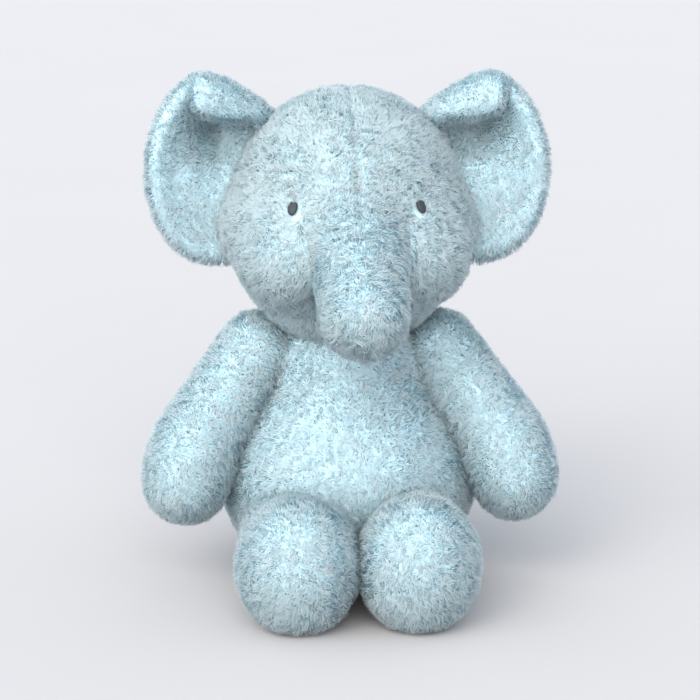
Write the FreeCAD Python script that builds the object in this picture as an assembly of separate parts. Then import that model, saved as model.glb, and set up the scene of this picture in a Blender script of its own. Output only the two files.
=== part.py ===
"""A seated stuffed elephant, 300 mm tall: sewn plush covers over fibre stuffing.

Frame: millimetres, +Z up, the elephant looks along -Y and its own left is +X.
The origin is on the floor, under the middle of the torso.

Each soft member is one closed form made three ways: its outer skin, the same
form one cloth thickness smaller (its stuffing), and the shell between the two,
which is cut along the seams into the panels that are sewn together.
Where one member moves on another, both surfaces are parts of one sphere about
the joint's centre, so that they keep the same small gap over the whole travel.
"""
import FreeCAD, Part

import math
import os

Vector = FreeCAD.Vector
X_AXIS = Vector(1, 0, 0)
Y_AXIS = Vector(0, 1, 0)
Z_AXIS = Vector(0, 0, 1)
ORIGIN = Vector(0, 0, 0)

# ---- driving dimensions -------------------------------------------------
CLOTH = 2.0               # plush cloth with its pile pressed flat
GAP = 0.4                 # between members that move on each other
SWEEP_STEP = 9.0          # degrees between the places of a swept member
SWEEP_START = 0.15        # of a swept member's length, left out at its ball
FAR = 400.0               # larger than the toy, for cutting regions
THREAD_RADIUS = 0.6       # strong hand-sewing thread, doubled

# torso: a round belly and a narrower chest, flat underneath
BELLY = Vector(0, 0, 57)
BELLY_RADIUS = 71.0
TORSO_TOP = 147.0
CHEST_RADIUS = 22.0       # of the rounding in the outline
CHEST_OUT = 25.0          # that rounding's centre from the torso's middle
SEAT_SEAM = 9.0           # height of the seam round the seat panel

# neck: a stuffed knob of the torso that the head is sewn down on
NECK = Vector(0, 0, 152)
NECK_RADIUS = 24.0

# head: full low cheeks under a rounder crown
HEAD_BOTTOM = 157.0
HEAD_TOP = 286.0
CHEEK_RADIUS = 46.0       # of the rounding in the outline
CHEEK_OUT = 28.0          # that rounding's centre from the head's middle
CROWN_RADIUS = 62.0
EAR_SEAM_Y = 14.0         # seam between the face and the back of the head

# eyes: upright satin-stitched ovals
EYE_HALF_SPACING = 36.0
EYE_HEIGHT = 222.0
EYE_WIDTH = 6.0
EYE_TALL = 9.0
EYE_PROUD = 0.9           # how far the stitches stand above the cloth
EYE_SUNK = 1.0            # how far they go into it
EYE_SKIN_RADIUS = 70.0    # of the head at the eyes' height

# trunk: short, thick and drooping
TRUNK_ROOT = Vector(0, -56, 196)
TRUNK_ROOT_RADIUS = 31.0
TRUNK_TIP = Vector(0, -98, 161)
TRUNK_TIP_RADIUS = 23.0
TRUNK_DOWN = -5.0         # degrees of bend below rest
TRUNK_UP = 20.0           # degrees of bend above rest

# ears: upright cupped ovals caught in the seam at the side of the head
EAR_CENTRE = Vector(82, 10, 240)
EAR_HALF_WIDTH = 40.0
EAR_HALF_HEIGHT = 57.0
EAR_CUP = 17.0            # depth of the hollow of the back panel
EAR_CUP_FRONT = 7.0       # depth of the hollow of the front panel
EAR_TURN = 12.0           # degrees that the cup is turned outwards
EAR_HEAD_GAP = 3.5        # room for the fold next to the head

# arms: stuffed tubes that grow towards the hand
SHOULDER = Vector(50, 0, 137)
SHOULDER_RADIUS = 19.5
HAND = Vector(95.5, -32, 62)
HAND_RADIUS = 24.5

# legs: straight forwards, with a tall rounded foot
HIP = Vector(33, -58, 30)
HIP_RADIUS = 30.0
ANKLE = Vector(33, -104, 33)
ANKLE_RADIUS = 28.0
FOOT_LOW = Vector(33, -117, 31)
FOOT_HIGH = Vector(33, -117, 45)
FOOT_RADIUS = 31.0
SOLE_SEAM = -127.0        # where the sole is sewn to the leg
LEG_DOWN = -25.0          # degrees of swing below rest
LEG_UP = 18.0             # degrees of swing above rest

# tail: a narrow tube at the back
TAIL_ROOT = Vector(0, 72, 48)
TAIL_ROOT_RADIUS = 7.0
TAIL_TIP = Vector(0, 92, 16)
TAIL_TIP_RADIUS = 8.0
TAIL_DOWN = -10.0         # degrees the tail's room is cut for, past its swing of -5
TAIL_UP = 60.0            # degrees of lift

# pellet pouch in the seat
POUCH = Vector(0, 14, 18)
POUCH_RADIUS = 36.0
POUCH_HALF_HEIGHT = 12.0
POUCH_CLOTH = 0.8

# hand-sewn thread rings and closing stitches
THREAD_SPREAD = 50.0      # degrees between a ball's axis and its thread ring
STITCH_COUNT = 7
STITCH_PITCH = 6.0
STITCH_LOWEST = 78.0
STITCH_LENGTH = 7.0
STITCH_PROUD = 0.5


# ---- shapes ---------------------------------------------------------------
def region(low, high):
    """Return the box between two corners."""
    size = high - low
    return Part.makeBox(size.x, size.y, size.z, low)


def turned(edges):
    """Return the solid that a half outline in the XZ plane sweeps about Z."""
    outline = Part.Face(Part.Wire(edges))
    return outline.revolve(ORIGIN, Z_AXIS, 360)


def arc_between(centre, radius, start, end):
    """Return the arc about a centre between two unit directions from it."""
    middle = start + end
    middle.normalize()
    points = [centre + direction * radius for direction in (start, middle, end)]
    return Part.Arc(*points).toShape()


def tapered_member(start, start_radius, end, end_radius):
    """Return two balls joined by the cone that touches both.

    The outline is an arc, the common tangent and an arc. The tangent leans by
    the angle whose sine is the difference of radii over the distance.
    """
    along = end - start
    length = along.Length
    sine = (start_radius - end_radius) / length
    side = Vector(math.sqrt(1 - sine * sine), 0, sine)
    tip = Z_AXIS * length
    back = arc_between(ORIGIN, start_radius, -Z_AXIS, side)
    flank = Part.makeLine(side * start_radius, tip + side * end_radius)
    front = arc_between(tip, end_radius, side, Z_AXIS)
    axis = Part.makeLine(tip + Z_AXIS * end_radius, Z_AXIS * -start_radius)
    member = turned([back, flank, front, axis])
    member.Placement = FreeCAD.Placement(start, FreeCAD.Rotation(Z_AXIS, along))
    return member


def round_pad(centre, radius, half_height):
    """Return a round pad with a half-round edge."""
    edge_centre = Vector(radius - half_height, 0, 0)
    low = edge_centre - Z_AXIS * half_height
    high = edge_centre + Z_AXIS * half_height
    rim = Part.Arc(low, Vector(radius, 0, 0), high).toShape()
    bottom_centre = Z_AXIS * -half_height
    top_centre = Z_AXIS * half_height
    pad = turned([Part.makeLine(bottom_centre, low), rim, Part.makeLine(high, top_centre),
                  Part.makeLine(top_centre, bottom_centre)])
    pad.translate(centre)
    return pad


def mirrored(shape):
    """Return the shape of the elephant's right-hand side."""
    return shape.mirror(ORIGIN, X_AXIS)


# ---- members, each as a function of its inset -------------------------------
def ring_and_ball(ring, ring_radius, ball, ball_radius):
    """Return a flat-ended form of a rounded edge, a straight flank and a ball.

    The form has a flat round end, an edge rounded about a ring, a ball on its
    axis at the other end, and the flank that touches both. The flank's unit
    normal serves both ends: its product with the line of centres is the
    difference of the radii.
    """
    between = ball - ring
    upwards = math.copysign(1, between.z)
    bearing = math.atan2(between.z * upwards, between.x)
    turn = math.acos((ring_radius - ball_radius) / between.Length)
    normal = Vector(math.cos(bearing - turn), 0, upwards * math.sin(bearing - turn))
    end = Z_AXIS * upwards
    flat = ring - end * ring_radius
    middle = Z_AXIS * flat.z
    pole = ball + end * ball_radius
    edges = [
        Part.makeLine(middle, flat),
        arc_between(ring, ring_radius, -end, normal),
        Part.makeLine(ring + normal * ring_radius, ball + normal * ball_radius),
        arc_between(ball, ball_radius, normal, end),
        Part.makeLine(pole, middle),
    ]
    return turned(edges)


def pear(inset):
    """Return the torso's form: rounded chest over a round belly, cut flat below."""
    ring = Vector(CHEST_OUT, 0, TORSO_TOP - CHEST_RADIUS)
    solid = ring_and_ball(ring, CHEST_RADIUS - inset, BELLY, BELLY_RADIUS - inset)
    above = region(Vector(-FAR, -FAR, inset), Vector(FAR, FAR, FAR))
    return solid.common(above)


def torso_form(inset):
    """Return the pear with the neck knob on it."""
    return pear(inset).fuse(Part.makeSphere(NECK_RADIUS - inset, NECK))


def head_form(inset):
    """Return the head: rounded cheeks under a ball of a crown."""
    ring = Vector(CHEEK_OUT, 0, HEAD_BOTTOM + CHEEK_RADIUS)
    crown = Z_AXIS * (HEAD_TOP - CROWN_RADIUS)
    return ring_and_ball(ring, CHEEK_RADIUS - inset, crown, CROWN_RADIUS - inset)


def trunk_form(inset):
    """Return the trunk: a ball in the face and a narrower rounded tip."""
    return tapered_member(TRUNK_ROOT, TRUNK_ROOT_RADIUS - inset,
                          TRUNK_TIP, TRUNK_TIP_RADIUS - inset)


def arm_form(inset):
    """Return the left arm."""
    return tapered_member(SHOULDER, SHOULDER_RADIUS - inset, HAND, HAND_RADIUS - inset)


def leg_form(inset):
    """Return the left leg: a ball at the hip, a tube and an upright foot."""
    tube = tapered_member(HIP, HIP_RADIUS - inset, ANKLE, ANKLE_RADIUS - inset)
    foot = tapered_member(FOOT_LOW, FOOT_RADIUS - inset, FOOT_HIGH, FOOT_RADIUS - inset)
    return tube.fuse(foot)


def tail_form(inset):
    """Return the tail."""
    return tapered_member(TAIL_ROOT, TAIL_ROOT_RADIUS - inset,
                          TAIL_TIP, TAIL_TIP_RADIUS - inset)


def dished_ball(cup):
    """Return the ball whose cap of the given depth stands on the ear's rim.

    A cap of depth c on a rim of radius r belongs to a ball of radius
    (r * r + c * c) / (2 * c). The rim lies in the XZ plane about the origin.
    """
    radius = (EAR_HALF_HEIGHT ** 2 + cup ** 2) / (2 * cup)
    return Part.makeSphere(radius, Vector(0, cup - radius, 0))


def ear_layer(front_cup, back_cup):
    """Return the left ear between two dished surfaces, upright and in place."""
    layer = dished_ball(back_cup).cut(dished_ball(front_cup))
    behind = region(Vector(-FAR, 0, -FAR), Vector(FAR, FAR, FAR))
    layer = layer.common(behind)
    matrix = FreeCAD.Matrix()
    matrix.scale(EAR_HALF_WIDTH / EAR_HALF_HEIGHT, 1, 1)
    layer = layer.transformGeometry(matrix)
    layer.rotate(ORIGIN, Z_AXIS, EAR_TURN)
    layer.translate(EAR_CENTRE)
    return layer


def arm_rooms():
    """Return what the torso leaves free for the left arm.

    The arm swings about the X axis through the shoulder, and the line that
    touches its inner side sweeps a cone about that axis. The rooms are the
    shoulder's ball and the inside of that cone, from where it leaves the ball.
    """
    along = HAND - SHOULDER
    radius = SHOULDER_RADIUS + GAP
    lean = math.atan2(along.x, math.hypot(along.y, along.z))
    lean += math.asin((SHOULDER_RADIUS - HAND_RADIUS) / along.Length)
    touch = SHOULDER - X_AXIS * (radius * math.cos(lean))
    touch_radius = radius * math.sin(lean)
    height = FAR * math.tan(lean)
    cone = Part.makeCone(touch_radius, touch_radius + FAR, height, touch, X_AXIS)
    return [Part.makeSphere(radius, SHOULDER), cone]


def swing_rooms(start, start_radius, end, end_radius, low, high):
    """Return what a socket leaves free for a tapered member that swings.

    It is the ball about the joint's centre and, at even steps of the turn
    about -X from low to high, the member from a little beyond that ball.
    """
    first = start + (end - start) * SWEEP_START
    first_radius = start_radius + (end_radius - start_radius) * SWEEP_START
    member = tapered_member(first, first_radius + GAP, end, end_radius + GAP)
    count = math.ceil((high - low) / SWEEP_STEP)
    rooms = [Part.makeSphere(start_radius + GAP, start)]
    for index in range(count + 1):
        place = member.copy()
        place.rotate(start, -X_AXIS, low + (high - low) * index / count)
        rooms.append(place)
    return rooms


# ---- cutting and writing ----------------------------------------------------
def without(shape, *tools):
    """Return the shape with every tool cut away."""
    for tool in tools:
        shape = shape.cut(tool)
    return shape


def write(node, shape):
    """Write one sub-part, and say how large it is."""
    solids = shape.Solids
    result = solids[0] if len(solids) == 1 else Part.makeCompound(solids)
    result.exportStep("parts/" + node + ".step")
    box = result.BoundBox
    print("%-28s %8.2f cm3  solids %d  valid %s  z %.1f..%.1f"
          % (node, result.Volume / 1000, len(solids), result.isValid(), box.ZMin, box.ZMax))


def write_pair(name, shape):
    """Write a part of the left-hand side and its mirror image."""
    write("left_" + name, shape)
    write("right_" + name, mirrored(shape))


def ball_thread(centre, radius, axis):
    """Return the ring of thread that holds a ball-ended member in its socket.

    The ring lies in the ball's surface, at an angle from the axis.
    """
    depth = radius - THREAD_RADIUS * 0.8
    angle = math.radians(THREAD_SPREAD)
    direction = Vector(axis)
    direction.normalize()
    middle = centre + direction * (depth * math.cos(angle))
    return Part.makeTorus(depth * math.sin(angle), THREAD_RADIUS, middle, direction)


def make_torso():
    """Write the torso's panels, stuffing, pellet pouch and closing stitches."""
    left_rooms = swing_rooms(HIP, HIP_RADIUS, ANKLE, ANKLE_RADIUS, LEG_DOWN, LEG_UP)
    left_rooms += arm_rooms()
    rooms = left_rooms + [mirrored(room) for room in left_rooms]
    rooms += swing_rooms(TAIL_ROOT, TAIL_ROOT_RADIUS, TAIL_TIP, TAIL_TIP_RADIUS,
                         -TAIL_UP, -TAIL_DOWN)
    outer = torso_form(0)
    inner = torso_form(CLOTH)
    shell = without(outer.cut(inner), *rooms)
    seat = region(Vector(-FAR, -FAR, -FAR), Vector(FAR, FAR, SEAT_SEAM))
    front = region(Vector(-FAR, -FAR, SEAT_SEAM), Vector(FAR, 0, FAR))
    back_left = region(Vector(0, 0, SEAT_SEAM), Vector(FAR, FAR, FAR))
    back_right = region(Vector(-FAR, 0, SEAT_SEAM), Vector(0, FAR, FAR))
    write("torso_front_panel", shell.common(front))
    write("torso_back_panel_left", shell.common(back_left))
    write("torso_back_panel_right", shell.common(back_right))
    write("torso_seat_panel", shell.common(seat))

    pouch_outer = round_pad(POUCH, POUCH_RADIUS, POUCH_HALF_HEIGHT)
    pouch_inner = round_pad(POUCH, POUCH_RADIUS - POUCH_CLOTH, POUCH_HALF_HEIGHT - POUCH_CLOTH)
    write("torso_stuffing", without(inner, pouch_outer, *rooms))
    write("pellet_pouch", without(pouch_outer, pouch_inner, *rooms))
    write("pellet_filling", without(pouch_inner, *rooms))

    proud = pear(-STITCH_PROUD).cut(outer)
    stitches = []
    for index in range(STITCH_COUNT):
        height = STITCH_LOWEST + index * STITCH_PITCH
        low = Vector(-STITCH_LENGTH / 2, 0, height)
        high = Vector(STITCH_LENGTH / 2, FAR, height + 2 * THREAD_RADIUS)
        stitches.append(proud.common(region(low, high)))
    write("back_closing_stitches", Part.makeCompound(stitches))


def make_neck_thread():
    """Write the ring of ladder stitch between the neck and the head."""
    level = HEAD_BOTTOM - THREAD_RADIUS - GAP
    beside = math.sqrt(NECK_RADIUS ** 2 - (level - NECK.z) ** 2)
    ring_radius = beside + GAP + THREAD_RADIUS
    write("neck_seam_thread", Part.makeTorus(ring_radius, THREAD_RADIUS, Vector(0, 0, level)))


def eye_form():
    """Return the left eye: an upright oval of the head's skin, a little proud."""
    oval = Part.Ellipse(Vector(0, 0, EYE_TALL / 2), Vector(EYE_WIDTH / 2, 0, 0), ORIGIN)
    needle = Part.Face(Part.Wire([oval.toShape()])).extrude(Y_AXIS * -FAR)
    needle.rotate(ORIGIN, Z_AXIS, math.degrees(math.asin(EYE_HALF_SPACING / EYE_SKIN_RADIUS)))
    needle.translate(Z_AXIS * EYE_HEIGHT)
    layer = head_form(-EYE_PROUD).cut(head_form(EYE_SUNK))
    return layer.common(needle)


def make_head():
    """Write the head's four panels, its stuffing and the two sewn eyes."""
    outer = head_form(0)
    inner = head_form(CLOTH)
    neck_room = Part.makeSphere(NECK_RADIUS + GAP, NECK)
    rooms = [neck_room] + swing_rooms(TRUNK_ROOT, TRUNK_ROOT_RADIUS, TRUNK_TIP,
                                      TRUNK_TIP_RADIUS, TRUNK_DOWN, TRUNK_UP)
    shell = without(outer.cut(inner), *rooms)
    left_eye = eye_form()
    right_eye = mirrored(left_eye)
    face_left = region(Vector(0, -FAR, 0), Vector(FAR, EAR_SEAM_Y, FAR))
    face_right = region(Vector(-FAR, -FAR, 0), Vector(0, EAR_SEAM_Y, FAR))
    back_left = region(Vector(0, EAR_SEAM_Y, 0), Vector(FAR, FAR, FAR))
    back_right = region(Vector(-FAR, EAR_SEAM_Y, 0), Vector(0, FAR, FAR))
    write("face_panel_left", shell.common(face_left).cut(left_eye))
    write("face_panel_right", shell.common(face_right).cut(right_eye))
    write("head_back_panel_left", shell.common(back_left))
    write("head_back_panel_right", shell.common(back_right))
    write("head_stuffing", without(inner, *rooms))
    write("left_eye", left_eye)
    write("right_eye", right_eye)


def make_trunk():
    """Write the trunk's upper and lower panels and its stuffing."""
    inner = trunk_form(CLOTH)
    shell = trunk_form(0).cut(inner)
    along = TRUNK_TIP - TRUNK_ROOT
    above = region(Vector(-FAR, -FAR, 0), Vector(FAR, FAR, FAR))
    above.rotate(ORIGIN, X_AXIS, math.degrees(math.atan2(-along.z, -along.y)))
    above.translate(TRUNK_ROOT)
    write("trunk_top_panel", shell.common(above))
    write("trunk_under_panel", shell.cut(above))
    write("trunk_stuffing", inner)


def make_ears():
    """Write each ear's front panel, wadding and back panel."""
    head_room = head_form(-EAR_HEAD_GAP)
    depths = [EAR_CUP_FRONT, EAR_CUP_FRONT + CLOTH, EAR_CUP - CLOTH, EAR_CUP]
    names = ["ear_front_panel", "ear_wadding", "ear_back_panel"]
    for name, front_cup, back_cup in zip(names, depths[:-1], depths[1:]):
        write_pair(name, ear_layer(front_cup, back_cup).cut(head_room))


def make_arms():
    """Write each arm's front and back panel, stuffing and shoulder thread."""
    inner = arm_form(CLOTH)
    thread = ball_thread(SHOULDER, SHOULDER_RADIUS, SHOULDER - HAND)
    shell = arm_form(0).cut(inner).cut(thread)
    along = HAND - SHOULDER
    sideways = along.cross(Y_AXIS)
    across = sideways.cross(along)
    front = region(Vector(-FAR, -FAR, -FAR), Vector(FAR, FAR, 0))
    front.Placement = FreeCAD.Placement(SHOULDER, FreeCAD.Rotation(Z_AXIS, across))
    write_pair("arm_front_panel", shell.common(front))
    write_pair("arm_back_panel", shell.cut(front))
    write_pair("arm_stuffing", inner)
    write_pair("shoulder_thread", thread)


def make_legs():
    """Write each leg's inner and outer panel, sole, stuffing and hip thread."""
    inner = leg_form(CLOTH)
    thread = ball_thread(HIP, HIP_RADIUS, HIP - ANKLE)
    shell = leg_form(0).cut(inner).cut(thread)
    sole = region(Vector(-FAR, -FAR, -FAR), Vector(FAR, SOLE_SEAM, FAR))
    inside = region(Vector(-FAR, -FAR, -FAR), Vector(HIP.x, FAR, FAR))
    upper = shell.cut(sole)
    write_pair("foot_sole", shell.common(sole))
    write_pair("leg_inner_panel", upper.common(inside))
    write_pair("leg_outer_panel", upper.cut(inside))
    write_pair("leg_stuffing", inner)
    write_pair("hip_thread", thread)


def make_tail():
    """Write the tail's cover and its stuffing."""
    inner = tail_form(CLOTH)
    write("tail_cover", tail_form(0).cut(inner))
    write("tail_stuffing", inner)


def main():
    """Write every sub-part."""
    os.makedirs("parts", exist_ok=True)
    make_torso()
    make_neck_thread()
    make_head()
    make_trunk()
    make_ears()
    make_arms()
    make_legs()
    make_tail()


main()
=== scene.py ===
"""A seated stuffed elephant in long pale blue plush.

Lengths in the forms below are millimetres; the frame has +Z up, the toy looks
along -Y and its own left is +X. Meshes are written in metres.
Each stuffed member is a closed skin found from a distance function, with a
pile of separate tapered locks of fibre grown on it.
"""
import math

import bpy
import numpy as np
from mathutils import Matrix, Vector


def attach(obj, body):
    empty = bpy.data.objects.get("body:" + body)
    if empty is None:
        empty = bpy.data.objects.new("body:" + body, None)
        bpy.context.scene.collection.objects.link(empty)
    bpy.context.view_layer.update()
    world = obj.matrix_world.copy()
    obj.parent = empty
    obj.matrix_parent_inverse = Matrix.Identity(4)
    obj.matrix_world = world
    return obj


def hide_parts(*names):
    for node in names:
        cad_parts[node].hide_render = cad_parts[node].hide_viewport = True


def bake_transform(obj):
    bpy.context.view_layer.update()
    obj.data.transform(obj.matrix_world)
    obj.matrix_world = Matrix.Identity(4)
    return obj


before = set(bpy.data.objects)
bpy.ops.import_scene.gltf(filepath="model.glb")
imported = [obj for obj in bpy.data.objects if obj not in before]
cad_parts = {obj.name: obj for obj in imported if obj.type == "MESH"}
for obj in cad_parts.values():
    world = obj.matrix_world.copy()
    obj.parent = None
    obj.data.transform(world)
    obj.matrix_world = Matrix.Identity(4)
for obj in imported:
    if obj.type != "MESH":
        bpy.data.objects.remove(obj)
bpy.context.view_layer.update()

MM = 0.001

# ---- driving dimensions ---------------------------------------------------
SKIN = 3.8                # the skin lies this far inside the pile's flat surface
PILE = 7.6                # length of the strands on body and head
EAR_PILE = 6.6
STRAND = 0.33             # width of a strand at its root
LOCK = 3.3                # size of a lock, a crinkled clump of strands
LOCK_SWAY = 0.9           # how far the locks' grid wanders
LOCK_SWAY_SIZE = 17.0
COMB_SIZE = 34.0          # size over which the combed direction wanders
FLOOR_GAP = 0.8           # no strand reaches lower than this above the floor
EYE_GAP = 0.1             # the pile keeps this clear of the eyes
SEAM_DEPTH = 1.5
CREASE_DEPTH = 1.4
SEAM_WIDTH = 2.2

HEAD_CORE = np.array([0.0, 0.0, 232.0])
HEAD_BACK = 12.0          # the head's front pile ends and its back pile starts here
TORSO_BACK = 8.0          # the same for the torso
TRUNK_PILE_START = -64.0  # in front of this, pile belongs to the trunk
TORSO_CORE = np.array([0.0, 0.0, 70.0])
NECK_RADIUS = 22.0        # no pile grows inside this radius, where the head sits
TRUNK_WAY = np.array([0.0, -0.80, -0.60])
HEAD_TURN = math.radians(2.5)   # the head sits a little turned to its own left
EYE = np.array([35.0, 0.0, 223.5])
EYE_HALF = (2.9, 4.3)


# ---- distance functions ---------------------------------------------------
def length(v):
    """Return the length of each vector."""
    return np.sqrt((v * v).sum(-1))


def unit(v):
    """Return each vector at length one."""
    return v / np.maximum(length(v), 1e-9)[..., None]


def oval(p, centre, radii):
    """Return about how far points are outside an ellipsoid."""
    q = p - np.array(centre, float)
    radii = np.array(radii, float)
    outer = length(q / radii)
    return outer * (outer - 1.0) / np.maximum(length(q / radii ** 2), 1e-9)


def member(p, start, end, start_radius, end_radius):
    """Return how far points are outside a stick whose radius changes steadily from end to end."""
    start = np.array(start, float)
    way = np.array(end, float) - start
    along = np.clip(((p - start) @ way) / (way @ way), 0.0, 1.0)
    radius = start_radius + (end_radius - start_radius) * along
    return length(p - start - along[..., None] * way) - radius


def meld(first, second, width):
    """Return the nearer of two distances, rounded off where they differ by less than a width."""
    part = np.clip(0.5 + 0.5 * (second - first) / width, 0.0, 1.0)
    return second + (first - second) * part - width * part * (1.0 - part)


def step(low, high, x):
    """Return 0 below low, 1 above high and an even rise between them."""
    t = np.clip((x - low) / (high - low), 0.0, 1.0)
    return t * t * (3.0 - 2.0 * t)


def furrow(distance, width):
    """Return 1 on a line and a bell-shaped fall to 0 beside it."""
    return np.exp(-(distance / width) ** 2)


def head_seams(p):
    """Return how near points are to the seams of the forehead and of the trunk's root."""
    x, y, z = p[..., 0], p[..., 1], p[..., 2]
    front = step(10.0, -20.0, y)
    brow = furrow(x, SEAM_WIDTH) * step(212.0, 216.0, z)
    cross = furrow(z - 215.0 - 0.02 * np.abs(x), SEAM_WIDTH) * step(30.0, 24.0, np.abs(x)) * front
    edge = 27.0 - 0.10 * (215.0 - z)
    sides = furrow(np.abs(x) - edge, SEAM_WIDTH) * step(216.0, 212.0, z) * front
    sides = sides * step(150.0, 160.0, z)
    return np.maximum(np.maximum(brow, cross), sides)


def head_form(p):
    """Head and trunk: low full cheeks, a rounder crown and a thick drooping trunk."""
    cheeks = oval(p, (0, 0, 205), (75, 70, 46))
    crown = oval(p, (0, 2, 209), (70, 66, 77))
    puffs = meld(
        oval(p, (34, -32, 194), (33, 36, 32)), oval(p, (-34, -32, 194), (33, 36, 32)), 4.0
    )
    head = meld(meld(cheeks, crown, 6.0), puffs, 8.0)
    trunk = member(p, (0, -44, 206), (0, -94, 173), 33.0, 26.5)
    return meld(head, trunk, 7.0) + SEAM_DEPTH * head_seams(p)


def torso_seams(p):
    """Return how near points are to the seam up the back and the crease across the belly."""
    x, y, z = p[..., 0], p[..., 1], p[..., 2]
    back = furrow(x, SEAM_WIDTH) * step(-10.0, 10.0, y)
    rise = z - (76.0 + 0.42 * (x + 26.0))
    crease = furrow(rise, 2.6) * step(-32.0, -24.0, x) * step(0.0, -8.0, x) * step(0.0, -10.0, y)
    return np.maximum(back, crease)


def torso_form(p):
    """Torso: a round belly, a narrower chest and the knob that the head is sewn on."""
    belly = oval(p, (0, 0, 56), (76, 74, 65))
    chest = member(p, (0, -2, 96), (0, -2, 122), 47.0, 38.0)
    shoulders = member(p, (-36, 2, 126), (36, 2, 126), 20.0, 20.0)
    knob = oval(p, (0, 0, 152), (30, 30, 26))
    body = meld(meld(meld(belly, chest, 24.0), shoulders, 18.0), knob, 8.0)
    return np.maximum(body, -p[..., 2]) + CREASE_DEPTH * torso_seams(p)


def arm_form(p):
    """Left arm: a stuffed tube that grows towards a rounded hand."""
    upper = member(p, (53, -1, 132), (88, -24, 83), 24.0, 26.5)
    hand = oval(p, (95, -31, 63), (26, 26, 27))
    return meld(upper, hand, 14.0)


def leg_form(p):
    """Left leg: straight forwards, with a tall rounded foot that stands on the floor."""
    thigh = member(p, (33, -40, 33), (34, -100, 33), 32.0, 31.0)
    foot = oval(p, (33, -113, 36), (34, 32, 40))
    return np.maximum(meld(thigh, foot, 12.0), -p[..., 2])


def tail_form(p):
    """Tail: a narrow tube with a fuller tip."""
    return member(p, (0, 66, 52), (0, 92, 17), 6.5, 9.5)


# ---- skins ----------------------------------------------------------------
def axes_of(way):
    """Return two directions square to a way and to each other."""
    way = unit(np.array(way, float))
    side = unit(np.cross(way, (1.0, 0.0, 0.0) if abs(way[0]) < 0.8 else (0.0, 0.0, 1.0)))
    return side, np.cross(way, side)


def blown(form, core, way, rings, columns, spread, inset=SKIN):
    """Return the grid of a form that any ray from its core leaves once.

    Ring angles from the way are spread unevenly, so that the part that reaches
    furthest keeps even cells; the radius along each ray is halved down to the
    place where the form's distance is minus the inset.
    """
    side, other = axes_of(way)
    angle = np.radians(np.interp(np.linspace(0, 1, rings + 1)[1:-1], *spread))[:, None]
    turn = (np.arange(columns) * 2 * np.pi / columns)[None, :]
    ray = (
        np.cos(angle)[..., None] * unit(np.array(way, float))
        + (np.sin(angle) * np.cos(turn))[..., None] * side
        + (np.sin(angle) * np.sin(turn))[..., None] * other
    ).reshape(-1, 3)
    ray = np.concatenate([ray, [unit(np.array(way, float))], [-unit(np.array(way, float))]])
    near, far = np.zeros(len(ray)), np.full(len(ray), 190.0)
    for _ in range(22):
        middle = (near + far) / 2
        outside = form(core + ray * middle[:, None]) > -inset
        far = np.where(outside, middle, far)
        near = np.where(outside, near, middle)
    return core + ray * near[:, None], closed_faces(rings - 1, columns)


def closed_faces(rows, columns):
    """Return the triangles of rows of points closed by one point at each end.

    The two end points come after the rows: first the first row's, then the last row's.
    """
    row = np.arange(rows - 1)[:, None] * columns
    column = np.arange(columns)[None, :]
    after = (column + 1) % columns
    a, b = (row + column).ravel(), (row + after).ravel()
    c, d = b + columns, a + columns
    first, last = rows * columns, rows * columns + 1
    tail = (rows - 1) * columns
    column, after = column.ravel(), after.ravel()
    return np.concatenate([
        np.stack([a, d, c], 1),
        np.stack([a, c, b], 1),
        np.stack([np.full(columns, first), column, after], 1),
        np.stack([np.full(columns, last), tail + after, tail + column], 1),
    ])


def mirrored(points, faces):
    """Return a skin's mirror image in the plane x = 0, its faces still outwards."""
    return points * np.array([-1.0, 1.0, 1.0]), faces[:, ::-1]


def outwards(points, faces):
    """Return the faces turned so that the skin encloses a positive volume."""
    a, b, c = (points[faces[:, k]] for k in range(3))
    return faces if (np.cross(a, b) * c).sum() > 0 else faces[:, ::-1]


def point_normals(points, faces):
    """Return the area-weighted normal at each point."""
    a, b, c = (points[faces[:, k]] for k in range(3))
    square = np.cross(b - a, c - a)
    total = np.zeros_like(points)
    for k in range(3):
        np.add.at(total, faces[:, k], square)
    return unit(total)


EAR_MID = np.array([75.0, 8.0, 239.0])
EAR_HALF = (38.5, 55.0)
EAR_OUTER_TURN = math.radians(14.0)
EAR_THICK = 6.5           # half the thickness of the stuffed ear
EAR_RIM = 0.17            # share of the ear's reach that its round rim takes
EAR_HOLLOW = 21.0
EAR_FOLD_TILT = math.radians(28.0)
EAR_FOLD_START = 30.0     # from the ear's middle to where the corner starts to fold
EAR_FOLDED = 17.0         # extra height that the fold takes up
EAR_WIND = 10.5           # radius of the fold
EAR_TURNED = math.radians(150.0)


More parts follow.
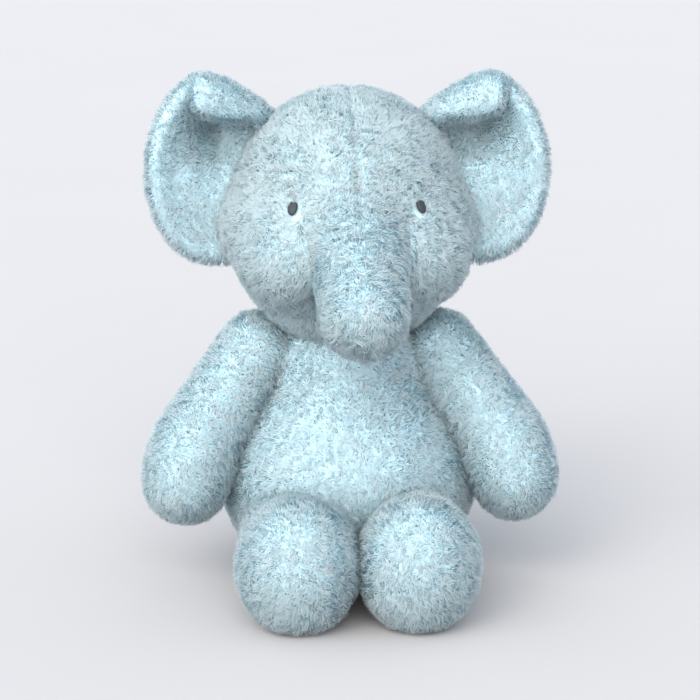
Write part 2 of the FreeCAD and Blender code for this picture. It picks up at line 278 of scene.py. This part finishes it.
def ear_skin(rings=90, columns=120):
    """Return the left ear: a soft disc, hollow in front, its inner upper corner folded over.

    Angle t runs round the rim. Angle a runs from the middle of the front over
    the rim to the middle of the back: flat, then half a turn round the rim,
    then flat. The hollow is a bell-shaped dent above the middle, and what lies
    past the fold line is wound forwards about it on a small radius.
    """
    a = np.linspace(0, np.pi, rings + 1)[1:-1][:, None]
    t = (np.arange(columns) * 2 * np.pi / columns)[None, :]
    a = np.concatenate([np.repeat(a, columns, 1).ravel(), [0.0, np.pi]])
    t = np.concatenate([np.repeat(t, rings - 1, 0).ravel(), [0.0, 0.0]])
    third = np.pi / 3
    round_rim = np.clip((a - third) / third, 0.0, 1.0) * np.pi
    flat = np.minimum(np.minimum(a, np.pi - a), third) / third
    reach = (1.0 - EAR_RIM) * flat + EAR_RIM * np.sin(round_rim)
    low = np.maximum(-np.sin(t), 0.0)
    swell = 1.0 + 0.20 * low ** 2 + 0.05 * np.cos(2 * t)
    high = EAR_HALF[1] + EAR_FOLDED * (np.sin(t) > 0) * step(0.6, -0.3, np.cos(t))
    u = EAR_HALF[0] * swell * reach * np.cos(t)
    w = high * reach * np.sin(t)
    away = np.array([-math.sin(EAR_FOLD_TILT), math.cos(EAR_FOLD_TILT)])
    past = u * away[0] + w * away[1] - EAR_FOLD_START
    hollow = EAR_HOLLOW * np.exp(-((u + 3.0) / 18.0) ** 2 - ((w - 17.0) / 22.0) ** 2)
    curl = -3.5 * step(0.55, 1.0, reach)
    layer = hollow * (1.0 - step(-4.0, 12.0, past)) + curl - EAR_THICK * np.cos(round_rim)
    turn = np.clip(past / EAR_WIND, 0.0, EAR_TURNED)
    rest = np.maximum(past - EAR_WIND * EAR_TURNED, 0.0)
    over = EAR_WIND * (1 - np.cos(turn)) + rest * math.sin(EAR_TURNED)
    reached = EAR_WIND * np.sin(turn) + rest * math.cos(EAR_TURNED)
    folded = past > 0
    moved = np.where(folded, reached - past + layer * np.sin(turn), 0.0)
    y = np.where(folded, layer * np.cos(turn) - over, layer)
    u = u + moved * away[0]
    w = w + moved * away[1]
    c, s = math.cos(EAR_OUTER_TURN), math.sin(EAR_OUTER_TURN)
    points = np.stack([u * c, y - 0.6 * s * u, w], 1) + EAR_MID
    return points, closed_faces(rings - 1, columns)


# ---- objects --------------------------------------------------------------
def made(name, points, faces, material):
    """Return a smooth object from points in millimetres."""
    mesh = bpy.data.meshes.new(name)
    mesh.from_pydata(points * MM, [], faces)
    mesh.validate()
    mesh.polygons.foreach_set("use_smooth", np.ones(len(mesh.polygons), bool))
    mesh.materials.append(material)
    mesh.update()
    piece = bpy.data.objects.new(name, mesh)
    bpy.context.scene.collection.objects.link(piece)
    return piece


def scattered(cells, seed):
    """Return three even random numbers from -1 to 1 for each whole-numbered cell."""
    mixed = (
        cells[:, 0].astype(np.int64) * 73856093
        ^ cells[:, 1].astype(np.int64) * 19349663
        ^ cells[:, 2].astype(np.int64) * 83492791
        ^ (seed * 2654435761)
    )
    numbers = []
    for salt in (12582917, 3145739, 6291469):
        value = (mixed * salt) & 0xFFFFFFFF
        value = ((value ^ (value >> 15)) * 2246822519) & 0xFFFFFFFF
        value = ((value ^ (value >> 13)) * 3266489917) & 0xFFFFFFFF
        numbers.append(((value ^ (value >> 16)) & 0xFFFF) / 32767.5 - 1.0)
    return np.stack(numbers, 1)


def wavy(p, size, seed):
    """Return a slowly changing vector at each point, as sums of sines over a size."""
    rng = np.random.default_rng(seed)
    total = np.zeros_like(p)
    for scale in (1.0, 0.55, 0.31):
        ways = unit(rng.normal(size=(3, 3))) * 2 * np.pi / (size * scale)
        total += np.sin(p @ ways.T + rng.uniform(0, 6.28, 3)) * scale
    return total


def roots_on(points, faces, normals, density, keep, rng):
    """Return evenly spread places on a skin and the skin's normal there, by area."""
    a, b, c = (points[faces[:, k]] for k in range(3))
    area = length(np.cross(b - a, c - a)) / 2 * keep((a + b + c) / 3)
    count = int(area.sum() * density)
    along = (np.arange(count) + rng.uniform(0, 1, count)) / count * area.sum()
    chosen = np.clip(np.searchsorted(np.cumsum(area), along), 0, len(faces) - 1)
    r, s = np.sqrt(rng.uniform(0, 1, count)), rng.uniform(0, 1, count)
    weights = np.stack([1 - r, r * (1 - s), r * s], 1)[..., None]
    corner = faces[chosen]
    return (points[corner] * weights).sum(1), unit((normals[corner] * weights).sum(1))


def clear_of_eyes(p):
    """Return whether points are outside the two eyes' ovals, where no pile grows."""
    side = (np.abs(p[:, 0]) - EYE[0]) / (EYE_HALF[0] + EYE_GAP)
    up = (p[:, 2] - EYE[2]) / (EYE_HALF[1] + EYE_GAP)
    return (side ** 2 + up ** 2 >= 1.0) | (p[:, 1] >= 0)


def grown(name, skin, density, tall, comb, seed, material, seams=None, keep=None):
    """Return the pile on a skin: tapered strands, gathered and bent lock by lock.

    A strand is a quad and a triangle from a root pair through a middle pair to
    one tip. It leaves along the normal and leans along the comb; the strands of
    one lock share a bend to one side and draw together towards the lock's middle.
    The pile is shorter on a seam and painted darker there, as painted shade in
    the seam. A strand that would cover an eye is cut short, and left out if it
    still would.
    """
    points, faces = skin
    faces = outwards(points, faces)
    rng = np.random.default_rng(seed)
    keep = keep or (lambda p: np.ones(len(p)))
    root, normal = roots_on(points, faces, point_normals(points, faces), density, keep, rng)
    count = len(root)
    sway = LOCK_SWAY * wavy(root, LOCK_SWAY_SIZE, seed + 1)
    cell = np.floor((root + sway) / LOCK)
    share = scattered(cell, seed)
    fine = scattered(np.floor((root + sway) / (LOCK * 0.45)), seed + 5)
    gather = (cell + 0.5 + 0.3 * share) * LOCK - sway - root
    gather -= (gather * normal).sum(1)[:, None] * normal
    own = rng.normal(size=(count, 3))
    lean = comb(root, normal) + 0.32 * share + 0.20 * fine + 0.20 * own
    lean -= (lean * normal).sum(1)[:, None] * normal
    bend = np.cross(normal, share + 0.6 * fine + 0.25 * own)
    line = seams(root) if seams else np.zeros(count)
    uneven = 0.86 + 0.16 * share[:, 0] + 0.10 * rng.uniform(-1, 1, count)
    size = (tall * uneven * (1 - 0.34 * line))[:, None]
    across = unit(np.cross(normal, lean + 0.8 * own + 1e-6))
    half = 0.5 * STRAND * (0.75 + 0.5 * rng.uniform(0, 1, count))[:, None] * across
    foot = root - 0.5 * normal
    knee = root + size * (0.44 * normal + 0.24 * lean + 0.16 * bend) + 0.06 * gather
    tip = root + size * (0.66 * normal + 0.62 * lean - 0.14 * bend) + 0.16 * gather
    facing = np.sign((np.cross(-2 * half, tip - foot) * normal).sum(1))[:, None]
    half = half * np.where(facing == 0, 1.0, facing)
    short = np.where(clear_of_eyes(tip) & clear_of_eyes(knee), 1.0, 0.55)[:, None]
    tip, knee = root + short * (tip - root), root + short * (knee - root)
    strands = np.stack([foot + half, foot - half, knee - 0.9 * half, knee + 0.9 * half, tip], 1)
    seen = clear_of_eyes(tip) & clear_of_eyes(knee)
    strands, share, fine, line, normal = (
        part[seen] for part in (strands, share, fine, line, normal)
    )
    strands[:, :, 2] = np.maximum(strands[:, :, 2], FLOOR_GAP)
    own_tone = 0.12 * rng.uniform(-1, 1, len(strands))
    # random tone lock by lock; the fall of 0.4 on seams and the belly crease is painted shade
    tone_and_seam_shade = 0.5 + 0.13 * share[:, 1] + 0.10 * fine[:, 0] + own_tone - 0.4 * line
    soft = unit(normal + 0.10 * share + 0.08 * fine)
    return strand_object(name, strands, tone_and_seam_shade, soft, material)


def strand_object(name, strands, tone_and_seam_shade, soft, material):
    """Return one mesh of all strands; attributes hold the share along each strand and its tone
    with painted seam shade.

    Every strand is shaded with the direction of the pile's surface where it grows.
    """
    count = len(strands)
    mesh = bpy.data.meshes.new(name)
    mesh.vertices.add(count * 5)
    mesh.vertices.foreach_set("co", (strands * MM).astype(np.float32).ravel())
    first = np.arange(count)[:, None] * 5
    corners = first + np.array([[0, 1, 2, 3, 3, 2, 4]])
    mesh.loops.add(count * 7)
    mesh.loops.foreach_set("vertex_index", corners.astype(np.int32).ravel())
    mesh.polygons.add(count * 2)
    starts = (np.arange(count)[:, None] * 7 + np.array([[0, 4]])).astype(np.int32)
    mesh.polygons.foreach_set("loop_start", starts.ravel())
    mesh.update(calc_edges=True)
    mesh.validate()
    along = np.tile(np.array([0.0, 0.0, 0.55, 0.55, 1.0], np.float32), count)
    mesh.attributes.new("along", "FLOAT", "POINT").data.foreach_set("value", along)
    shade = np.repeat(np.clip(tone_and_seam_shade, 0, 1), 5).astype(np.float32)
    mesh.attributes.new("tone_and_seam_shade", "FLOAT", "POINT").data.foreach_set("value", shade)
    mesh.materials.append(material)
    mesh.polygons.foreach_set("use_smooth", np.ones(count * 2, bool))
    mesh.normals_split_custom_set_from_vertices(np.repeat(soft, 5, 0).astype(np.float32))
    piece = bpy.data.objects.new(name, mesh)
    bpy.context.scene.collection.objects.link(piece)
    return piece


# ---- materials ------------------------------------------------------------
def linear(code):
    """Return the linear colour of an sRGB hex code."""
    shares = [int(code[k:k + 2], 16) / 255 for k in (1, 3, 5)]
    return [s / 12.92 if s <= 0.04045 else ((s + 0.055) / 1.055) ** 2.4 for s in shares] + [1.0]


def fresh(name):
    """Return an empty node material, its tree, its surface shader and its output."""
    material = bpy.data.materials.new(name)
    material.use_nodes = True
    tree = material.node_tree
    tree.nodes.clear()
    shader = tree.nodes.new("ShaderNodeBsdfPrincipled")
    output = tree.nodes.new("ShaderNodeOutputMaterial")
    tree.links.new(shader.outputs[0], output.inputs["Surface"])
    return material, tree, shader, output


def node(tree, kind, settings=(), values=(), links=()):
    """Add one node, with its settings, its socket values and the sockets that feed it."""
    new = tree.nodes.new(kind)
    for key, value in dict(settings).items():
        setattr(new, key, value)
    for key, value in dict(values).items():
        new.inputs[key].default_value = value
    for key, source in dict(links).items():
        tree.links.new(source, new.inputs[key])
    return new


def plush_pile():
    """Polyester plush fibres, dyed pale aqua, crinkled by heat setting.

    Pale tips over roots painted a deeper blue, as painted shade inside the pile
    between the locks; light that passes through the fibres comes out bluer, so
    hollows and creases look deeper in colour than lit faces.
    """
    material, tree, shader, output = fresh("plush_pile")
    along = node(tree, "ShaderNodeAttribute", {"attribute_name": "along"})
    tone_and_seam_shade = node(tree, "ShaderNodeAttribute", {"attribute_name": "tone_and_seam_shade"})
    ramp = node(tree, "ShaderNodeValToRGB", links={0: along.outputs["Fac"]})
    stops = ramp.color_ramp.elements
    # painted shade: the root stop's deeper blue darkens each strand towards its base
    stops[0].position, stops[0].color = 0.0, linear("#B4D3DE")
    stops[1].position, stops[1].color = 0.62, linear("#DFE8EA")
    # the strand's tone attribute scales the colour: random tone, plus painted shade along seams
    shade = node(
        tree, "ShaderNodeMapRange", values={3: 0.94, 4: 1.02}, links={0: tone_and_seam_shade.outputs["Fac"]}
    )
    mixed = node(
        tree, "ShaderNodeVectorMath", {"operation": "SCALE"},
        links={0: ramp.outputs[0], "Scale": shade.outputs[0]},
    )
    tree.links.new(mixed.outputs[0], shader.inputs["Base Color"])
    shader.inputs["Roughness"].default_value = 0.6
    shader.inputs["Specular IOR Level"].default_value = 0.5
    shader.inputs["Sheen Weight"].default_value = 0.4
    shader.inputs["Sheen Roughness"].default_value = 0.5
    deep = node(
        tree, "ShaderNodeVectorMath", {"operation": "MULTIPLY"}, {1: (0.70, 0.92, 1.0)},
        {0: mixed.outputs[0]},
    )
    through = node(tree, "ShaderNodeBsdfTranslucent", links={"Color": deep.outputs[0]})
    both = node(
        tree, "ShaderNodeMixShader", values={0: 0.5},
        links={1: shader.outputs[0], 2: through.outputs[0]},
    )
    tree.links.new(both.outputs[0], output.inputs["Surface"])
    return material


def plush_backing():
    """The knitted backing cloth under the pile: the pile's blue, deeper as painted shade under the
    pile, with fine loops.
    """
    material, tree, shader, _ = fresh("plush_backing")
    place = node(tree, "ShaderNodeTexCoord")
    grain = node(
        tree, "ShaderNodeTexNoise", values={"Scale": 900.0, "Detail": 2.0},
        links={"Vector": place.outputs["Object"]},
    )
    ramp = node(tree, "ShaderNodeValToRGB", links={0: grain.outputs["Fac"]})
    stops = ramp.color_ramp.elements
    # painted shade: both stops are deeper than the pile's tips; the noise between them is the
    # knit's grain
    stops[0].position, stops[0].color = 0.3, linear("#B3D1DC")
    stops[1].position, stops[1].color = 0.7, linear("#C3DBE3")
    bump = node(
        tree, "ShaderNodeBump", values={"Strength": 0.5, "Distance": 0.0004},
        links={"Height": grain.outputs["Fac"]},
    )
    tree.links.new(ramp.outputs[0], shader.inputs["Base Color"])
    tree.links.new(bump.outputs[0], shader.inputs["Normal"])
    shader.inputs["Roughness"].default_value = 0.9
    return material


def plain(name, low, high, rough, scale):
    """A matt material that wanders between two colours over a pattern size in 1/m."""
    material, tree, shader, _ = fresh(name)
    place = node(tree, "ShaderNodeTexCoord")
    grain = node(
        tree, "ShaderNodeTexNoise", values={"Scale": scale, "Detail": 3.0},
        links={"Vector": place.outputs["Object"]},
    )
    ramp = node(tree, "ShaderNodeValToRGB", links={0: grain.outputs["Fac"]})
    stops = ramp.color_ramp.elements
    stops[0].position, stops[0].color = 0.35, linear(low)
    stops[1].position, stops[1].color = 0.65, linear(high)
    tree.links.new(ramp.outputs[0], shader.inputs["Base Color"])
    shader.inputs["Roughness"].default_value = rough
    return material


PLUSH = plush_pile()
BACKING = plush_backing()
EYE_THREAD = plain("eye_embroidery", "#12171B", "#2A333A", 0.6, 1500.0)
SEWING_THREAD = plain("sewing_thread", "#9CC3D2", "#B6D6E2", 0.6, 2500.0)
POUCH_CLOTH = plain("pouch_cloth", "#D9D5CC", "#E6E2DA", 0.85, 1800.0)
PELLETS = plain("plastic_pellets", "#DADFE0", "#F0F3F3", 0.35, 260.0)


# ---- the toy --------------------------------------------------------------
def downwards(amount, drift, seed):
    """Return a comb: strands hang down by an amount and wander by a drift."""
    def comb(p, n):
        return np.array([0.0, 0.0, -amount]) + drift * wavy(p, COMB_SIZE, seed)
    return comb


def fan(centre, amount, drift, seed):
    """Return a comb that strokes the pile outwards from a centre and a little down."""
    def comb(p, n):
        away = unit(p - np.array(centre, float))
        return away * amount + [0, 0, -0.15] + drift * wavy(p, COMB_SIZE, seed)
    return comb


def turned(pieces):
    """Turn what is sewn to the head by the head's own small turn."""
    for piece in pieces:
        piece.data.transform(Matrix.Rotation(HEAD_TURN, 4, "Z"))
    return pieces


def joined(pieces):
    """Bake each piece's placement into its mesh."""
    for piece in pieces:
        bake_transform(piece)
    return pieces


def head_and_trunk():
    """Make the head's cover with the trunk, and their pile in four pieces."""
    spread = ([0, 0.06, 0.42, 1.0], [0.0, 5.0, 34.0, 180.0])
    skin = blown(head_form, HEAD_CORE, TRUNK_WAY, 150, 176, spread)
    cover = made("head_and_trunk_skin", skin[0], outwards(*skin), BACKING)
    comb = fan((0, -60, 215), 0.40, 0.16, 3)

    def on_face(p):
        return (p[:, 1] >= TRUNK_PILE_START) * (p[:, 1] < HEAD_BACK)

    areas = (
        ("trunk_pile", 3.0, lambda p: p[:, 1] < TRUNK_PILE_START),
        ("face_left_pile", 3.1, lambda p: on_face(p) * (p[:, 0] >= 0)),
        ("face_right_pile", 3.1, lambda p: on_face(p) * (p[:, 0] < 0)),
        ("head_back_pile", 1.5, lambda p: p[:, 1] >= HEAD_BACK),
    )
    piles = [
        grown(name, skin, density, PILE, comb, 11 + k, PLUSH, head_seams, keep)
        for k, (name, density, keep) in enumerate(areas)
    ]
    joined(turned([cover] + piles))
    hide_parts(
        "head_stuffing", "trunk_stuffing", "trunk_top_panel", "trunk_under_panel",
        "face_panel_left", "face_panel_right", "head_back_panel_left", "head_back_panel_right",
    )


def eyes():
    """Make both eyes: upright ovals of satin stitches, each stitch a raised ridge across."""
    rows, columns = 72, 40
    v = np.linspace(-1, 1, rows + 1)[:, None]
    u = np.linspace(-1, 1, columns + 1)[None, :]
    edge = np.sqrt(np.maximum(1 - v ** 2, 0.0))
    across = EYE_HALF[0] * u * edge + 0.0 * v
    up = EYE_HALF[1] * v + 0.0 * u
    dome = np.sqrt(np.maximum(1 - (u ** 2 * (1 - v ** 2) + v ** 2), 0.0))
    ridge = 0.10 * np.abs(np.sin(np.pi * (up + 0.25 * across) / 0.42))
    high = 1.5 * dome ** 0.6 + ridge * dome
    i = np.arange(rows)[:, None] * (columns + 1) + np.arange(columns)[None, :]
    faces = np.stack([i, i + 1, i + columns + 2, i + columns + 1], -1).reshape(-1, 4)
    for side, name in ((1, "left"), (-1, "right")):
        ray = np.array([side * EYE[0], 0.0, EYE[2]])
        near, far = 20.0, 100.0
        for _ in range(30):
            middle = (near + far) / 2
            outside = head_form(np.array([[ray[0], -middle, ray[2]]]))[0] > -SKIN
            near, far = (near, middle) if outside else (middle, far)
        at = np.array([[ray[0], -near, ray[2]]])
        slope = np.array([head_form(at + d)[0] - head_form(at - d)[0] for d in np.eye(3) * 0.5])
        out = unit(slope)
        right = unit(np.cross([0.0, 0.0, 1.0], out))
        top = np.cross(out, right)
        points = (
            at + across[..., None] * right + up[..., None] * top + (high[..., None] + 2.0) * out
        ).reshape(-1, 3)
        eye = made(f"{name}_eye_stitches", points, faces, EYE_THREAD)
        thicken = eye.modifiers.new("pad", "SOLIDIFY")
        thicken.thickness = 1.6 * MM
        thicken.offset = -1.0
        turned([eye])
        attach(eye, "head")
        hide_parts(f"{name}_eye")


def torso():
    """Make the torso's cover and its pile in a front and a back piece."""
    spread = ([0, 1.0], [0.0, 180.0])
    skin = blown(torso_form, TORSO_CORE, (0, 0, 1), 130, 160, spread)
    cover = made("torso_skin", skin[0], outwards(*skin), BACKING)
    comb = downwards(0.42, 0.20, 21)

    def off_neck_and_seat(p):
        return (p[:, 2] > 5.0) * (length(p[:, :2]) > NECK_RADIUS * (p[:, 2] > 140))

    front = grown(
        "torso_front_pile", skin, 1.95, PILE, comb, 22, PLUSH, torso_seams,
        lambda p: (p[:, 1] < TORSO_BACK) * off_neck_and_seat(p),
    )
    back = grown(
        "torso_back_pile", skin, 1.5, PILE, comb, 23, PLUSH, torso_seams,
        lambda p: (p[:, 1] >= TORSO_BACK) * off_neck_and_seat(p),
    )
    for piece in (cover, front, back):
        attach(piece, "torso")
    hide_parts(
        "torso_stuffing", "torso_front_panel", "torso_back_panel_left",
        "torso_back_panel_right", "torso_seat_panel",
    )


def limb(name, skin, density, comb, seed, nodes, tall=PILE, keep=None):
    """Make one member's cover and pile."""
    cover = made(f"{name}_skin", skin[0], outwards(*skin), BACKING)
    pile = grown(f"{name}_pile", skin, density, tall, comb, seed, PLUSH, None, keep)
    joined([cover, pile])
    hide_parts(*nodes)


def limbs():
    """Make arms, legs, ears and tail; the right ones are mirror images with their own locks."""
    arm = blown(
        arm_form, np.array([72.0, -15.0, 99.0]), (0.49, -0.34, -0.80), 96, 100,
        ([0, 0.3, 0.7, 1.0], [0.0, 38.0, 142.0, 180.0]),
    )
    leg = blown(
        leg_form, np.array([33.0, -80.0, 34.0]), (0, -1, 0), 90, 120,
        ([0, 0.4, 0.7, 1.0], [0.0, 60.0, 120.0, 180.0]),
    )
    ear = ear_skin()
    for side, name, flip in ((1, "left", lambda s: s), (-1, "right", lambda s: mirrored(*s))):
        turn = np.array([side, 1.0, 1.0])
        seed = 40 if side > 0 else 60
        limb(
            f"{name}_arm", flip(arm),
            2.4,
            downwards(0.42, 0.2, seed), seed + 1,
            [f"{name}_arm_front_panel", f"{name}_arm_back_panel", f"{name}_arm_stuffing",
             f"{name}_shoulder_thread"],
        )
        limb(
            f"{name}_leg", flip(leg),
            2.4,
            downwards(0.30, 0.2, seed + 2), seed + 3,
            [f"{name}_leg_inner_panel", f"{name}_leg_outer_panel", f"{name}_foot_sole",
             f"{name}_leg_stuffing", f"{name}_hip_thread"],
            keep=lambda p: (p[:, 2] > 3.0) * (p[:, 1] < -14.0),
        )
        limb(
            f"{name}_ear", flip(ear),
            2.2,
            fan(EAR_MID * turn, 0.30, 0.18, seed + 4), seed + 5,
            [f"{name}_ear_front_panel", f"{name}_ear_wadding", f"{name}_ear_back_panel"],
            tall=EAR_PILE,
        )
    tail = blown(
        tail_form, np.array([0.0, 79.0, 34.5]), (0, 0.60, -0.80), 40, 40, ([0, 1.0], [0.0, 180.0]),
        inset=1.6,
    )
    limb(
        "tail", tail, 1.5,
        downwards(0.5, 0.15, 80), 81, ["tail_cover", "tail_stuffing"], tall=5.0,
    )


def carried():
    """Give every part kept from the design its material: threads, pouch and pellets."""
    looks = {
        "thread": (SEWING_THREAD, "sewing_thread"),
        "stitches": (SEWING_THREAD, "sewing_thread"),
        "pouch": (POUCH_CLOTH, "pouch_cloth"),
        "filling": (PELLETS, "pellets"),
    }
    for name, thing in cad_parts.items():
        ending = name.rsplit("_", 1)[-1]
        if ending in looks:
            thing.data.materials.clear()
            thing.data.materials.append(looks[ending][0])


# ---- the studio -----------------------------------------------------------
SKY_COLOUR = (0.88, 0.96, 1.04, 1.0)
SKY_POWER = 1.28
LAMP_COLOUR = (1.0, 0.95, 0.88)
LAMPS = (                 # name, power, width in degrees, the way the light goes
    ("window", 1.5, 45.0, (0.70, 0.62, -0.72)),
    ("reflector", 3.9, 60.0, (0.20, 0.92, -0.46)),
)
CAMERA_AIM = (0.0012, 0.0, 0.131)
CAMERA_AWAY = 1.4         # metres from the aim
CAMERA_TURN = 3.0         # degrees towards the toy's right
CAMERA_RISE = 13.0        # degrees above level
CAMERA_LENS = 123.0
CAMERA_SENSOR = 36.0


def studio():
    """Set the toy on pale paper between two broad soft lamps under an even sky."""
    scene = bpy.context.scene
    corners = np.array([[-9.0, -4.0, 0.0], [9.0, -4.0, 0.0], [9.0, 14.0, 0.0], [-9.0, 14.0, 0.0]])
    paper = plain("paper_sweep", "#ABA9AB", "#ACAAAC", 0.95, 3.0)
    floor = made("floor", corners / MM, np.array([[0, 1, 2, 3]]), paper)
    world = bpy.data.worlds.new("sky")
    world.use_nodes = True
    background = world.node_tree.nodes["Background"]
    background.inputs[0].default_value = SKY_COLOUR
    background.inputs[1].default_value = SKY_POWER
    scene.world = world
    for name, power, spread, way in LAMPS:
        lamp = bpy.data.lights.new(name, "SUN")
        lamp.energy = power
        lamp.color = LAMP_COLOUR
        lamp.angle = math.radians(spread)
        holder = bpy.data.objects.new(name, lamp)
        scene.collection.objects.link(holder)
        holder.rotation_euler = Vector(way).to_track_quat("-Z", "Y").to_euler()
    scene.cycles.diffuse_bounces = 8
    scene.cycles.max_bounces = 16
    lens = bpy.data.cameras.new("camera")
    lens.lens = CAMERA_LENS
    lens.sensor_width = CAMERA_SENSOR
    camera = bpy.data.objects.new("camera", lens)
    scene.collection.objects.link(camera)
    turn, rise = math.radians(CAMERA_TURN), math.radians(CAMERA_RISE)
    level = math.cos(rise)
    away = Vector((-math.sin(turn) * level, -math.cos(turn) * level, math.sin(rise)))
    camera.location = Vector(CAMERA_AIM) + CAMERA_AWAY * away
    camera.rotation_euler = (-away).to_track_quat("-Z", "Y").to_euler()
    scene.camera = camera
    scene.view_settings.view_transform = "Standard"


head_and_trunk()
eyes()
torso()
limbs()
carried()
studio()
